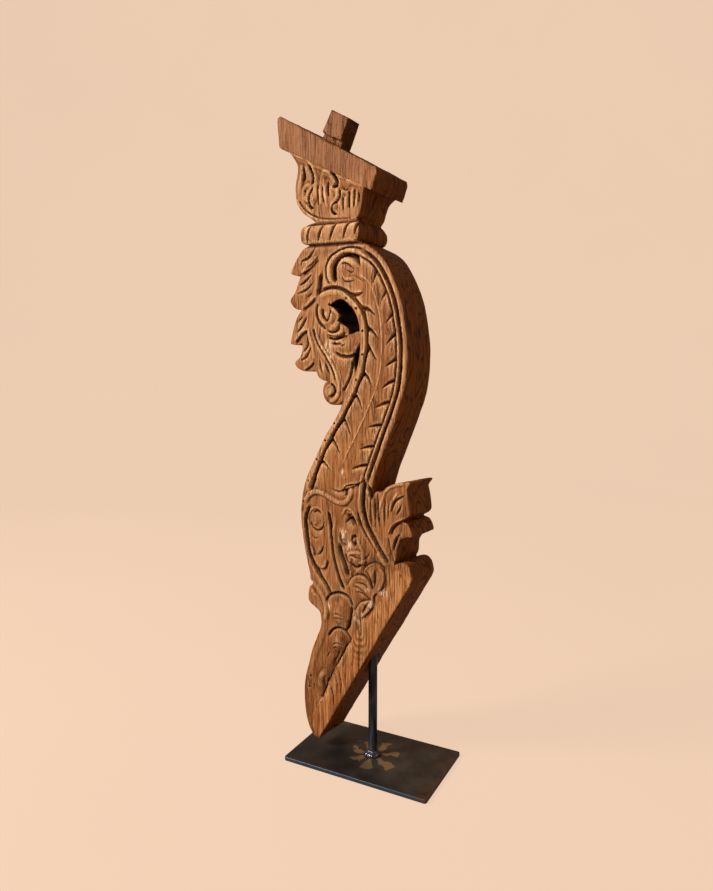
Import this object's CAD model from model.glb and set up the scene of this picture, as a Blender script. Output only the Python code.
"""Carved balcony bracket: the finely carved, weathered timber and its blackened steel stand."""

import math

import bmesh
import bpy
import numpy as np
from mathutils import Matrix, Vector
from mathutils.kdtree import KDTree


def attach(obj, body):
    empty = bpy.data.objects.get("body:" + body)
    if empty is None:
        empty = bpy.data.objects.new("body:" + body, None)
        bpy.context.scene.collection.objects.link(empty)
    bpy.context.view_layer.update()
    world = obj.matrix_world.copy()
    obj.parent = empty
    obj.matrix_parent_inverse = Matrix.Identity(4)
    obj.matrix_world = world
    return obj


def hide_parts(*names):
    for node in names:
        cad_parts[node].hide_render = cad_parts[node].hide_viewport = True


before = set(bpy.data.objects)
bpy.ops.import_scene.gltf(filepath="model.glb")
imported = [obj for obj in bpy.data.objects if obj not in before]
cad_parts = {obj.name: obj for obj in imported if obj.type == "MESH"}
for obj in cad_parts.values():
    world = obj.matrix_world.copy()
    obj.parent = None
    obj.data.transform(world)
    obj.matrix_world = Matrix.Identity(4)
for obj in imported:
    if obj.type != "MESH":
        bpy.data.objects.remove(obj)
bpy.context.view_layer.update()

# Sizes of the timber in millimetres, as the solids have them
PLANK = 66.6
ABACUS_DEPTH = 85.1
ABACUS_LEFT = -150.97
TENON_DEPTH = 30.0
TENON_WIDTH = 36.5
TENON_HEIGHT = 41.5
TENON_PLACE = 0.415
TENON_ROOT = 12.0
TENON_FLARE = 5.0
TENON_LEDGE = 9.0
TOE_HEIGHT = 21.0
SOCKET_RADIUS = 7.2
SOCKET_DEPTH = 85.0
MOUTH_RADIUS = 13.0
MOUTH_DEPTH = 12.0

# How finely the timber is worked, in millimetres, the least and most wear of each arris, the carving's
# ground below the plank's flat face, how many triangles are kept, and the degrees that still make an edge
CUT_STEP = 1.15
HEAD_STEP = 1.9
WALL_ROWS = 13
ABACUS_ROWS = 20
TENON_ROWS = 7
PLANK_ARRIS = (0.48, 1.6)
ABACUS_ARRIS = (0.3, 1.9)
TENON_ARRIS = (0.5, 2.4)
GROUND = -0.8
TIMBER_TRIANGLES = 176000
SHARP_EDGE = 52

# The table of carved heights, in millimetres: its lower left corner, its size and its two blurs
TABLE_LOW = (-158.0, -6.0)
TABLE_SIZE = (264, 992)
NEAR_BLUR = 2.5
WIDE_BLUR = 7

# The steel stand in millimetres, and the plate's turn in degrees
PLATE_LENGTH = 239.9
PLATE_WIDTH = 143.9
PLATE_CORNER = 4.0
PLATE_ARRIS = 0.8
PLATE_TOP = 6.0
PLATE_TURN = 7.6
ROD_RADIUS = 6.9
WELD_RADIUS = 13.4
WELD_HEIGHT = 7.0
WELD_GAP = 0.3
ROD_ARRIS = 1.2
HEAT_MARKS = 7.0

# The studio: paper in metres, the photo's view, and the lights' place, size, power and colour
PAPER_LENGTH = 12.0
PAPER_WIDTH = 14.0
PAPER_FLAT = 6.0
PAPER_FRONT = 3.5
PAPER_BEND = 1.6
PAPER_COLOUR = (0.840, 0.605, 0.445, 1.0)
PAPER_GLOW = 0.97
PAPER_FILL = 0.24
PAPER_BOUNCE = 0.13
WORLD_COLOUR = (1.0, 0.93, 0.86, 1.0)
WORLD_STRENGTH = 0.22
LIGHTS = [("key", (-1.5, -1.9, 1.8), 0.8, 84.0, (1.0, 0.95, 0.89)),
          ("fill", (0.6, -2.6, 0.9), 1.4, 9.0, (1.0, 0.95, 0.90))]
CAMERA_PLACE = (0.5702, -0.8384, 0.5844)
CAMERA_DIP = 4.97
CAMERA_TURN = 35.67
CAMERA_FOCAL = 669.75 / 713

# The outline, drawn in millimetres with x across the face and z up from the toe. Chains meet at corners.
ABACUS = [[(-145, 976), (-149.5, 974), (-151, 968)], [(-151, 968), (-148, 933)],
          [(-148, 933), (-146, 929), (-142, 927)], [(-142, 927), (-127, 919)], [(-127, 919), (23, 839)],
          [(23, 839), (28, 848), (32, 860), (31, 868), (27, 871)], [(27, 871), (-145, 976)]]
ABACUS_TOP = ((-145, 976), (27, 871))
ABACUS_FOOT = ((-127, 918), (23, 839))
COLLAR_LINE = ((-106, 794), (-2, 787))
COLLAR_HALF_HEIGHT = 14.5
COLLAR_STAND = 4.8
ROPE_TURNS = [[(-90, 806), (-95, 796), (-97, 782)], [(-65, 806), (-72, 795), (-76, 781)],
              [(-41, 806), (-48, 795), (-54, 780)], [(-16, 806), (-24, 794), (-29, 779)],
              [(0, 804), (-5, 794), (-8, 782)]]

BELL_LEFT = [(-131, 925), (-120, 908), (-116, 899), (-118, 889), (-123, 874), (-124, 862), (-121, 845),
             (-109, 829), (-91, 817), (-84, 811)]
COLLAR_LEFT = [(-84, 811), (-100, 809), (-108, 803), (-109, 793), (-107, 783), (-97, 779)]
LEAF_A = [(-97, 779), (-110, 773), (-121, 761), (-134, 743), (-130, 738), (-121, 736), (-114, 737)]
LEAF_B = [(-114, 737), (-121, 722), (-126, 711), (-134, 703), (-136, 697), (-131, 689), (-123, 684),
          (-113, 683)]
LEAF_D = [(-113, 683), (-121, 675), (-129, 659), (-136, 635), (-131, 630), (-120, 630), (-113, 632)]
LEAF_E = [(-113, 632), (-113, 621), (-118, 611), (-126, 605), (-128, 600), (-124, 594), (-116, 590),
          (-106, 588), (-85, 589)]
LEAF_F = [(-85, 589), (-81, 581), (-75, 576), (-60, 572)]
LOW_VOLUTE = [(-60, 572), (-67, 569), (-71, 560), (-70, 550), (-64, 542), (-53, 537), (-42, 538), (-33, 542)]
SCROLL_LEFT = [(-33, 542), (-43, 522), (-66, 490), (-86, 455), (-104, 423), (-112, 400), (-118, 364),
               (-114, 328), (-104, 285), (-98, 262), (-92, 254)]
KNOB_AND_STEM = [(-92, 254), (-101, 246), (-104, 231), (-100, 221), (-81, 210), (-77, 195), (-80, 180),
                 (-94, 150), (-111, 90), (-113, 59), (-110, 34), (-103, 14), (-93, 1), (-82, 0)]
WALL_CUT = [(-82, 0), (85, 280)]
BLOCK = [(85, 280), (89, 291), (84, 306), (73, 311), (58, 306)]
LEAF_TWO = [(58, 306), (62, 318), (65, 336), (74, 347), (88, 352), (82, 367), (71, 372)]
LEAF_ONE = [(71, 372), (82, 380), (84, 389), (80, 411), (79, 419), (84, 429), (61, 425), (47, 420), (34, 410)]
LEAF_SMALL = [(34, 410), (27, 411), (17, 403)]
SCROLL_RIGHT = [(17, 403), (27, 438), (45, 482), (62, 523), (75, 563), (79, 604), (77, 640), (67, 689),
                (48, 730), (27, 756), (-2, 773), (-9, 775)]
COLLAR_RIGHT = [(-9, 775), (-4, 778), (-1, 788), (-3, 799), (-9, 806)]
BELL_RIGHT = [(-9, 806), (-3, 814), (1, 826), (5, 838), (16, 850)]
HEAD_INSIDE = [(16, 850), (-131, 925)]
OUTLINE = [BELL_LEFT, COLLAR_LEFT, LEAF_A, LEAF_B, LEAF_D, LEAF_E, LEAF_F, LOW_VOLUTE, SCROLL_LEFT,
           KNOB_AND_STEM, WALL_CUT, BLOCK, LEAF_TWO, LEAF_ONE, LEAF_SMALL, SCROLL_RIGHT, COLLAR_RIGHT,
           BELL_RIGHT, HEAD_INSIDE]
CRESCENT_HOLE = [[(-61, 686), (-55, 688.5), (-46, 693), (-35, 693), (-18, 680), (-9, 667), (-4, 653),
                  (-3, 645)], [(-3, 645), (-10, 644), (-22, 641)],
                 [(-22, 641), (-24, 650), (-36, 658), (-42, 662)],
                 [(-42, 662), (-39, 670), (-46, 679), (-55, 684), (-61, 686)]]
SLIT_HOLE = [[(-3, 628), (-2, 614), (-4, 600), (-9, 584)], [(-9, 584), (-14, 596), (-13, 612), (-3, 628)]]

# The long frond on the scroll: its crest and the gouge cuts between its lobes, each from its root to its tip
CREST = [(-5, 728), (10, 718), (21, 703), (28, 684), (34, 664), (37, 640), (37, 615), (35, 591), (29, 566),
         (20, 546), (6, 518), (-11, 487), (-27, 461), (-39, 436)]
RIGHT_CUTS = [
    [(-11, 756), (-4, 748), (-1, 737)], [(24, 738), (25, 727), (21, 713)], [(50, 706), (42, 698), (35, 687)],
    [(58, 670), (51, 664), (43, 654)], [(63, 641), (53, 634), (44, 624)], [(64, 606), (53, 599), (43, 593)],
    [(60, 573), (49, 570), (37, 562)], [(53, 542), (40, 540), (25, 534)], [(41, 508), (28, 508), (13, 505)],
    [(28, 477), (13, 476), (-2, 472)], [(13, 448), (0, 447), (-17, 441)],
]
LEFT_CUTS = [
    [(-22, 699), (-8, 698), (4, 701)], [(1, 678), (13, 675), (25, 666)], [(9, 650), (20, 644), (31, 632)],
    [(11, 624), (19, 613), (28, 601)], [(3, 584), (12, 577), (18, 564)], [(-15, 556), (-6, 546), (2, 531)],
    [(-36, 520), (-27, 508), (-19, 492)], [(-58, 487), (-48, 477), (-39, 463)],
    [(-78, 451), (-67, 445), (-57, 435)],
]
INNER_BAND = [(-84, 692), (-80, 704), (-67, 711), (-50, 712), (-32, 707), (-15, 695), (-2, 682), (7, 664),
              (11, 645), (11, 625), (8, 605), (3, 584), (-6, 564), (-14, 549), (-28, 526), (-36, 513),
              (-54, 488), (-70, 461), (-86, 430), (-95, 406)]

# The mouldings along the scroll's right edge: distance from it, half width, and depth or height
RIM_VALLEY = (10.2, 3.2, 4.8)
RIM_BEAD = (14.9, 2.5, 0.9)
RIM_QUIRK = (18.3, 1.9, 5.0)
RIM_REACH = 24

# Rounded ribs: half width, height and line
BEADS = [
    (2.8, 1.7, [(29, 369), (36, 395), (45, 414), (60, 423), (77, 427)]),
    (4.4, 3.6,
     [(-51, 717), (-57, 728), (-58, 742), (-51, 753), (-38, 759), (-20, 762), (0, 758), (16, 746)]),
    (4.4, 3.2,
     [(-110, 380), (-99, 395), (-83, 401), (-67, 398), (-53, 392), (-39, 388), (-27, 391), (-19, 401),
      (-19, 409), (-26, 412)]),
    (2.2, 1.8, [(50, 350), (57, 364), (69, 371), (81, 367)]), (2.2, 1.6, [(50, 382), (56, 400), (66, 414)]),
    (3.6, 2.8, [(4, 436), (-1, 412), (-2, 385), (4, 363), (15, 342), (29, 322), (46, 300)]),
    (1.6, 1.6, [(12, 408), (10, 388), (16, 366), (28, 348), (42, 328), (52, 312)]),
    (3.2, 2.8, [(-75, 688), (-77, 679), (-75, 670), (-69, 662), (-61, 657)]),
    (4.4, 3.0, [(-56, 683), (-47, 679), (-41, 671), (-42, 661), (-50, 654), (-60, 654)]),
    (3.0, 3.0, [(-62, 680), (-64, 673), (-61, 667)]),
    (3.6, 2.6, [(-57, 641), (-47, 641), (-37, 645), (-31, 652)]),
    (3.8, 2.8,
     [(-86, 645), (-73, 624), (-57, 604), (-46, 585), (-40, 566), (-43, 551), (-52, 543), (-61, 544)]),
    (2.0, 1.6, [(-64, 622), (-52, 607), (-42, 590), (-35, 570), (-35, 553)]),
    (3.4, 2.0, [(-100, 658), (-98, 642), (-91, 624), (-88, 604)]),
    (4.6, 2.6, [(-108, 268), (-90, 252), (-74, 236), (-67, 214), (-69, 196)]),
    (3.4, 2.0, [(-101, 246), (-88, 236), (-78, 222), (-72, 206)]),
    (5.0, 1.8, [(-64, 222), (-67, 200), (-71, 180), (-81, 156), (-92, 128), (-98, 100)]),
    (3.6, 2.4, [(-52, 352), (-51, 328), (-46, 302), (-39, 281), (-31, 266)]),
    (2.2, 1.8, [(-100, 344), (-102, 358), (-96, 371), (-84, 376), (-73, 371), (-67, 358), (-70, 345)]),
    (1.8, 1.6, [(-95, 358), (-90, 350), (-81, 353)]),
    (5.0, 1.9, [(-106, 903), (-108, 886), (-113, 869), (-118, 852)]),
    (4.7, 1.9, [(-99, 900), (-97, 888), (-96, 878), (-100, 869)]),
    (4.4, 1.9, [(-92, 904), (-84, 888), (-81, 872), (-84, 856), (-81, 838)]),
    (3.7, 1.9, [(-91, 864), (-99, 868), (-106, 863), (-107, 854), (-104, 842)]),
    (3.7, 1.5, [(-95, 861), (-100, 852), (-102, 842)]), (4.0, 2.0, [(-89, 851), (-86, 843), (-89, 837)]),
    (5.5, 2.5, [(-72, 856), (-70, 868), (-62, 877), (-53, 875), (-47, 867), (-47, 859), (-53, 852)]),
    (2.9, 1.8, [(-60, 872), (-65, 864), (-66, 852), (-63, 840), (-61, 828)]),
    (3.7, 1.5, [(-76, 864), (-74, 848), (-75, 832)]),
    (4.4, 2.3, [(-55, 849), (-51, 855), (-45, 853), (-42, 847), (-44, 840), (-48, 835)]),
    (3.4, 1.9, [(-46, 831), (-46, 823)]),
    (3.7, 1.9, [(-37, 824), (-38, 838), (-33, 846), (-26, 847), (-22, 842)]),
    (3.2, 1.9, [(-26, 842), (-27, 832), (-28, 820)]),
    (4.4, 2.2, [(-25, 853), (-17, 857), (-8, 856), (0, 849)]),
    (3.2, 1.6, [(-10, 850), (-15, 837), (-16, 823)]), (2.9, 1.5, [(-3, 846), (-6, 834), (-11, 820)]),
    (2.0, 1.6, [(-120, 852), (-113, 839), (-99, 825), (-79, 814)]),
    (4.6, 2.4, [(-40, 745), (-33, 750), (-24, 749), (-15, 744), (-9, 736)]),
    (3.0, 1.6, [(-37, 733), (-30, 723), (-20, 722), (-12, 720)]),
    (2.4, 2.2, [(-36, 368), (-28, 380), (-18, 379), (-9, 368), (-3, 354)]),
    (3.0, 2.4, [(-19, 327), (-9, 336), (-2, 327), (7, 310)]),
    (3.4, 3.4, [(-27, 307), (-14, 315), (1, 314), (5, 304), (-3, 297)]),
    (1.8, 1.6, [(6, 288), (16, 299), (28, 303), (41, 295), (44, 282), (38, 268)]),
    (5.0, 3.0, [(-81, 78), (-80, 98), (-74, 110), (-66, 112)]),
]
# Round-bottomed hollows: half width, depth and line
HOLLOWS = [
    (4.2, 6.0,
     [(-47, 716), (-49, 730), (-48, 743), (-40, 752), (-27, 757), (-13, 754), (-5, 746), (-2, 736)]),
    (2.2, 3.0, [(-57, 716), (-64, 727), (-65, 742), (-58, 756), (-42, 764), (-20, 767), (2, 762)]),
    (4.8, 5.5, [(-70, 739), (-76, 727), (-78, 713), (-86, 700)]),
    (4.6, 5.0, [(-99, 398), (-93, 414), (-84, 430)]),
    (1.7, 3.4, [(-98, 352), (-92, 343), (-82, 340), (-73, 346), (-69, 356)]),
    (1.6, 2.4, [(-92, 366), (-84, 371), (-75, 367)]),
    (3.4, 6.5, [(-62, 374), (-57, 352), (-55, 330), (-51, 302), (-44, 280), (-38, 264), (-30, 252)]),
    (4.4, 5.4,
     [(-97, 381), (-106, 361), (-107, 342), (-101, 308), (-92, 286), (-78, 268), (-64, 252), (-56, 236)]),
    (4.6, 5.6, [(-42, 328), (-37, 306), (-29, 290), (-24, 270)]),
    (2.2, 4.6, [(-30, 410), (-27, 403), (-32, 399)]), (4.6, 4.6, [(-31, 374), (-20, 367), (-7, 351)]),
    (3.6, 4.0, [(-40, 345), (-37, 330), (-30, 318)]),
    (3.2, 4.4, [(7, 428), (5, 402), (5, 384), (11, 362), (22, 343), (36, 323), (50, 305)]),
    (2.4, 4.6, [(-92, 655), (-82, 632), (-66, 610), (-55, 594), (-49, 580), (-48, 572)]),
    (2.0, 4.4, [(-80, 692), (-83, 684), (-83, 673), (-79, 663), (-71, 655), (-64, 651)]),
    (1.7, 4.2, [(-70, 684), (-71, 677), (-69, 669), (-64, 665)]),
    (1.9, 4.6, [(-56, 682), (-56, 675), (-58, 668), (-62, 664), (-67, 665)]),
    (2.0, 4.4, [(-62, 650), (-56, 646), (-48, 646), (-42, 650), (-38, 656)]),
    (2.0, 4.2, [(-62, 639), (-54, 636), (-43, 636), (-33, 640), (-27, 646)]),
    (2.0, 3.6, [(-56, 630), (-45, 628), (-34, 629)]),
    (2.8, 4.6, [(-50, 617), (-36, 610), (-20, 609), (-9, 614), (-3, 626)]),
    (2.4, 4.0, [(-16, 604), (-17, 588), (-24, 572), (-34, 556)]),
    (1.9, 5.0, [(-57, 570), (-50, 565), (-48, 557), (-52, 551), (-59, 550)]),
    (3.0, 7.0, [(-94, 898), (-88, 887), (-87, 876), (-92, 866)]),
    (2.4, 4.0, [(-103, 898), (-104, 884), (-107, 871)]), (1.5, 3.6, [(-103, 863), (-104, 857)]),
    (2.2, 6.0, [(-88, 865), (-92, 859), (-96, 852), (-97, 843), (-93, 835), (-86, 832)]),
    (1.6, 3.6, [(-79, 866), (-79, 850), (-78, 834)]), (1.7, 4.0, [(-69, 862), (-70, 850), (-67, 836)]),
    (2.2, 5.4, [(-56, 867), (-60, 857), (-58, 843)]),
    (3.0, 6.8, [(-50, 880), (-42, 870), (-40, 861), (-44, 857), (-52, 857)]),
    (2.2, 6.2, [(-38, 852), (-37, 844), (-41, 837), (-49, 833), (-53, 827), (-50, 820), (-42, 817)]),
    (1.4, 3.0, [(-49, 847), (-47, 842)]), (1.8, 5.0, [(-32, 841), (-32, 830), (-32, 819)]),
    (1.8, 4.4, [(-20, 848), (-21, 834), (-21, 821)]), (1.7, 4.0, [(-8, 848), (-11, 834), (-13, 821)]),
    (1.4, 3.0, [(-1, 842), (-4, 828)]), (1.4, 2.8, [(-31, 853), (-25, 848), (-19, 850)]),
    (1.1, 0.9, [(-118, 911), (-80, 893), (-40, 873), (6, 850)]),
    (1.0, 0.7, [(-112, 901), (-70, 882), (-30, 862)]),
    (1.4, 2.0, [(-117, 848), (-104, 833), (-84, 820), (-60, 813), (-16, 808)]),
    (2.6, 4.4, [(-18, 232), (-18, 218), (-22, 202), (-30, 186)]),
    (2.6, 4.2, [(-64, 172), (-54, 186), (-38, 192), (-24, 184), (-18, 168)]),
    (2.6, 3.8, [(-68, 228), (-60, 240), (-42, 247), (-24, 244), (-14, 228)]),
    (3.2, 5.0, [(-66, 106), (-66, 96), (-71, 82), (-79, 64)]),
    (2.8, 4.0, [(-27, 168), (-36, 150), (-48, 128)]), (4.0, 6.0, [(11, 422), (17, 410), (19, 394)]),
    (2.4, 3.6, [(-30, 312), (-24, 299), (-10, 292), (4, 300)]),
]
# Chisel slashes, straight in the flanks and sharp at both ends: half width, depth and line; first the back's
BACK_SLASHES = 14
SLASHES = [
    (3.0, 4.6, [(-113, 756), (-98, 761), (-86, 773)]), (2.6, 4.0, [(-103, 744), (-91, 751), (-79, 761)]),
    (1.6, 2.4, [(-109, 757), (-113, 749)]), (2.8, 4.4, [(-117, 720), (-104, 727), (-93, 735)]),
    (2.8, 4.4, [(-119, 708), (-105, 712), (-90, 722)]), (1.6, 2.4, [(-101, 700), (-91, 708)]),
    (3.0, 4.6, [(-121, 648), (-112, 658), (-103, 672)]), (1.8, 2.8, [(-121, 664), (-110, 674)]),
    (3.0, 4.6, [(-110, 618), (-102, 628), (-101, 644)]), (2.8, 4.2, [(-115, 605), (-103, 611), (-95, 625)]),
    (2.8, 4.2, [(-78, 606), (-75, 592), (-70, 583)]), (2.4, 3.8, [(-67, 602), (-63, 592), (-58, 583)]),
    (2.0, 3.4, [(-71, 318), (-74, 309), (-84, 300)]), (2.8, 4.6, [(53, 384), (61, 400), (77, 410)]),
    (2.2, 3.6, [(62, 380), (68, 388), (72, 396)]), (3.0, 4.6, [(57, 326), (61, 342), (70, 354)]),
    (2.6, 4.8, [(22, 418), (24, 392), (26, 358)]), (2.4, 4.4, [(29, 410), (30, 385), (33, 360)]),
    (2.0, 3.4, [(17, 402), (17, 376), (20, 354)]), (2.0, 3.4, [(43, 404), (41, 382), (42, 360)]),
    (1.6, 2.4, [(50, 398), (48, 384), (48, 372)]), (2.6, 4.6, [(11, 290), (15, 281), (19, 270)]),
    (3.2, 5.0, [(26, 294), (25, 280), (24, 266)]), (1.8, 3.6, [(-15, 262), (-3, 261), (15, 250)]),
    (1.8, 3.4, [(-9, 254), (3, 254), (20, 243)]), (2.2, 3.8, [(2, 222), (6, 231), (13, 242)]),
    (1.8, 3.2, [(-12, 268), (4, 269), (15, 262)]), (1.6, 2.8, [(-49, 213), (-41, 215), (-32, 212)]),
    (1.4, 2.4, [(-50, 204), (-41, 208), (-30, 206)]), (1.6, 2.8, [(-54, 162), (-44, 167), (-33, 163)]),
    (1.4, 2.2, [(-54, 156), (-46, 159)]), (1.4, 2.4, [(-96, 238), (-83, 229), (-73, 213)]),
    (1.4, 2.4, [(-38, 628), (-33, 625), (-27, 628)]), (1.4, 2.0, [(-49, 635), (-48, 624)]),
    (1.4, 2.0, [(-55, 635), (-55, 624)]), (2.6, 5.0, [(-30, 357), (-20, 366), (-7, 355)]),
    (1.8, 3.2, [(-26, 368), (-18, 372), (-9, 362)]), (2.0, 3.4, [(-24, 311), (-10, 309), (0, 306)]),
    (1.8, 2.8, [(-22, 304), (-10, 303)]), (1.6, 2.4, [(-96, 332), (-88, 327), (-80, 329)]),
    (1.8, 3.0, [(-72, 316), (-76, 305), (-82, 300)]),
    (2.2, 4.6, [(9, 429), (-3, 420), (-25, 415), (-34, 408)]),
    (1.8, 3.4, [(-31, 409), (-41, 405), (-56, 408)]), (1.8, 3.0, [(-104, 846), (-98, 838), (-90, 828)]),
    (1.6, 2.6, [(-38, 744), (-28, 745), (-19, 741), (-11, 733)]),
    (1.6, 2.6, [(-36, 732), (-30, 720), (-21, 718), (-11, 719)]),
    (1.8, 2.6, [(-54, 128), (-47, 102), (-46, 78)]), (1.6, 2.4, [(-45, 130), (-39, 106), (-38, 84)]),
    (1.8, 2.4, [(-62, 100), (-54, 82), (-53, 60)]), (1.4, 2.0, [(-30, 130), (-30, 108)]),
    (1.4, 2.0, [(-42, 155), (-50, 140), (-58, 127)]), (1.4, 2.0, [(-60, 150), (-66, 138)]),
    (1.6, 2.6, [(-72, 100), (-66, 88), (-68, 76)]), (1.2, 1.8, [(-92, 90), (-94, 76)]),
    (1.6, 2.4, [(-26, 736), (-18, 731), (-12, 733)]), (1.2, 1.8, [(-15, 727), (-5, 722), (6, 714)]),
    (1.4, 2.4, [(3, 304), (12, 312), (16, 322)]), (1.2, 1.8, [(-62, 560), (-52, 566)]),
]
# Steps where one form lies on another: depth, reach and line, with the lower side on the line's left
STEPS = [
    (3.4, 10.0, [(-78, 760), (-95, 746), (-114, 737)]), (3.4, 10.0, [(-84, 702), (-98, 691), (-114, 683)]),
    (3.4, 10.0, [(-99, 653), (-114, 645), (-129, 632)]), (3.0, 8.0, [(-88, 604), (-97, 596), (-111, 589)]),
    (3.2, 9.0, [(-2, 421), (-16, 415), (-34, 410)]),
    (3.8, 9.0, [(84, 377), (66, 371), (55, 362), (48, 348)]), (3.4, 8.0, [(61, 308), (54, 326), (49, 347)]),
    (3.2, 9.0, [(-64, 298), (-69, 283), (-80, 281), (-91, 293)]),
    (2.6, 7.0, [(-9, 378), (0, 355), (14, 336), (30, 316)]),
    (3.4, 9.0, [(3, 284), (10, 295), (24, 303), (37, 298), (42, 285), (38, 271), (30, 260)]),
    (3.2, 8.0, [(-27, 258), (-16, 275), (0, 281), (12, 276), (21, 260)]),
    (2.8, 7.0, [(-11, 222), (-3, 237), (9, 243), (21, 246)]),
    (2.6, 8.0, [(30, 262), (22, 252), (22, 240), (12, 226), (0, 214)]),
    (3.2, 9.0, [(-22, 640), (-46, 640), (-64, 644)]), (2.6, 9.0, [(-100, 318), (-92, 308), (-90, 294)]),
]
# Round swellings, and shallow dishes below zero: centre, half sizes and height
SWELLS = [
    ((-84, 358), (13, 13), 3.6), ((-53, 668), (14, 17), 3.4), ((-59, 556), (14, 16), 4.4),
    ((-20, 216), (6, 16), -1.5), ((-40, 215), (22, 27), 6.5), ((-42, 167), (19, 19), 6.0),
    ((-71, 104), (12, 13), 3.0), ((-87, 844), (5, 9), 3.2), ((-47, 828), (5, 8), 3.2),
    ((-12, 305), (18, 13), 5.0), ((-18, 362), (15, 9), -2.6), ((-31, 337), (10, 13), 4.0),
    ((-30, 740), (16, 18), 2.0), ((-30, 627), (26, 15), 2.6), ((-30, 598), (16, 14), 2.4),
    ((-34, 652), (12, 7), 1.6), ((-110, 752), (22, 18), 2.0), ((-110, 706), (24, 18), 2.2),
    ((-112, 655), (18, 20), 2.0), ((-105, 610), (18, 18), 2.0), ((-72, 590), (14, 16), 1.6),
    ((70, 395), (16, 24), 2.4), ((68, 352), (14, 14), 2.4), ((22, 286), (18, 18), 2.0),
    ((0, 262), (20, 16), 1.8), ((-80, 315), (20, 36), 1.4), ((-113, 875), (12, 34), 2.0),
    ((-90, 235), (16, 12), 1.8),
]
# Broken and rotted places: centre, half sizes and depth
BREAKS = [
    ((-13, 333), (7, 11), 5.0), ((-30, 326), (5, 9), 2.4), ((-30, 407), (6, 5), 3.0),
    ((-35, 437), (9, 12), 1.4), ((-16, 292), (7, 16), 3.5), ((-22, 200), (5, 12), 2.0),
]
# Places where the wood is split or chipped to pale fibres: centre and half sizes
BARE = [
    ((-31, 338), (12, 15)), ((-23, 322), (13, 9)), ((-31, 334), (8, 12)), ((-35, 436), (4, 9)),
    ((-3, 215), (12, 14)), ((16, 240), (14, 7)), ((-62, 624), (9, 14)), ((-58, 612), (12, 8)),
    ((10, 262), (8, 6)), ((-60, 224), (6, 9)), ((40, 262), (12, 10)),
]
# Old nail holes
NAIL_RADIUS = 1.7
NAIL_DEPTH = 3.5
NAIL_HOLES = [(-27, 694), (-9, 678), (3, 645), (3, 611), (-8, 574), (-16, 550), (-25, 532), (-49, 509),
              (-67, 482), (-83, 452), (-101, 417), (-112, 383), (-98, 100), (-102, 81), (-59, 688)]
# The plain weathered wedge between the sunk strip and the slanting wall face, with its worn growth rings
WEDGE = [(-12, 190), (-27, 165), (-42, 140), (-59, 108), (-72, 83), (-86, 52), (-100, 30), (-90, -5),
         (-70, -5), (100, 290), (60, 300), (44, 262), (24, 232), (4, 212)]
RING_CENTRE = (-1, 196)
RING_SPACE = 4.4
RING_SEED = 8
# The sunk strip behind the buds, with its crisp edge
STRIP_EDGE = [(-10, 186), (-25, 165), (-40, 140), (-57, 108), (-70, 83), (-84, 54)]
STRIP_DEPTH = 6.5
STRIP_REACH = 30.0

# What the timber's surface carries for its colours, each from 0 to 1
MARKS = ("hollow", "worn", "side", "soot", "bare", "ring")


def smooth_line(points, step):
    """Points along a smooth curve through the given ones, about a step apart."""
    given = np.array(points, float)
    if len(given) == 2:
        count = max(1, int(np.linalg.norm(given[1] - given[0]) / step))
        return given[0] + np.linspace(0, 1, count + 1)[:, None] * (given[1] - given[0])
    before = np.vstack([2 * given[0] - given[1], given, 2 * given[-1] - given[-2]])
    line = []
    for a, b, c, d in zip(before, before[1:], before[2:], before[3:]):
        count = max(1, int(round(np.linalg.norm(c - b) / step)))
        for t in np.arange(count) / count:
            line.append(0.5 * (2 * b + (c - a) * t + (2 * a - 5 * b + 4 * c - d) * t**2
                               + (3 * b - a - 3 * c + d) * t**3))
    return np.array(line + [given[-1]])


def closed_loop(chains, step):
    """One closed loop of points from chains that meet end to end."""
    return np.vstack([smooth_line(chain, step)[:-1] for chain in chains])


def around(x, z, line, reach):
    """The points within a reach of a line's box."""
    low, high = line.min(axis=0) - reach, line.max(axis=0) + reach
    return np.flatnonzero((x > low[0]) & (x < high[0]) & (z > low[1]) & (z < high[1]))


def near_line(x, z, line, reach):
    """Each point's distance from a line up to a reach, its share of the way, and its left side as 1."""
    best = np.full(x.shape, float(reach))
    share = np.zeros(x.shape)
    side = np.ones(x.shape)
    pool = around(x, z, line, reach)
    pool = pool[np.argsort(z[pool], kind="stable")]
    across, up = x[pool], z[pool]
    found, along, left = best[pool], share[pool], side[pool]
    for number, (a, b) in enumerate(zip(line, line[1:])):
        start = np.searchsorted(up, min(a[1], b[1]) - reach)
        stop = np.searchsorted(up, max(a[1], b[1]) + reach)
        run = b - a
        right_of, above = across[start:stop] - a[0], up[start:stop] - a[1]
        t = np.clip((right_of * run[0] + above * run[1]) / max(run @ run, 1e-9), 0, 1)
        far = np.hypot(right_of - t * run[0], above - t * run[1])
        nearer = far < found[start:stop]
        found[start:stop][nearer] = far[nearer]
        along[start:stop][nearer] = (number + t[nearer]) / (len(line) - 1)
        left[start:stop][nearer] = np.where(run[0] * above[nearer] - run[1] * right_of[nearer] > 0, 1.0, -1.0)
    best[pool], share[pool], side[pool] = found, along, left
    return best, share, side


def stroke(x, z, points, step, reach):
    """The places near a smooth line, the line, and near_line's results there."""
    line = smooth_line(points, step)
    part = around(x, z, line, reach)
    return part, line, *near_line(x[part], z[part], line, reach)


def oval(x, z, centre, sizes):
    """Distance from a centre, as a share of the half sizes on each axis."""
    return np.hypot((x - centre[0]) / sizes[0], (z - centre[1]) / sizes[1])


def flat(x, z):
    """Drawn places as points for the noise."""
    return np.stack([x, z, np.zeros_like(x)], axis=1)


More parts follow.
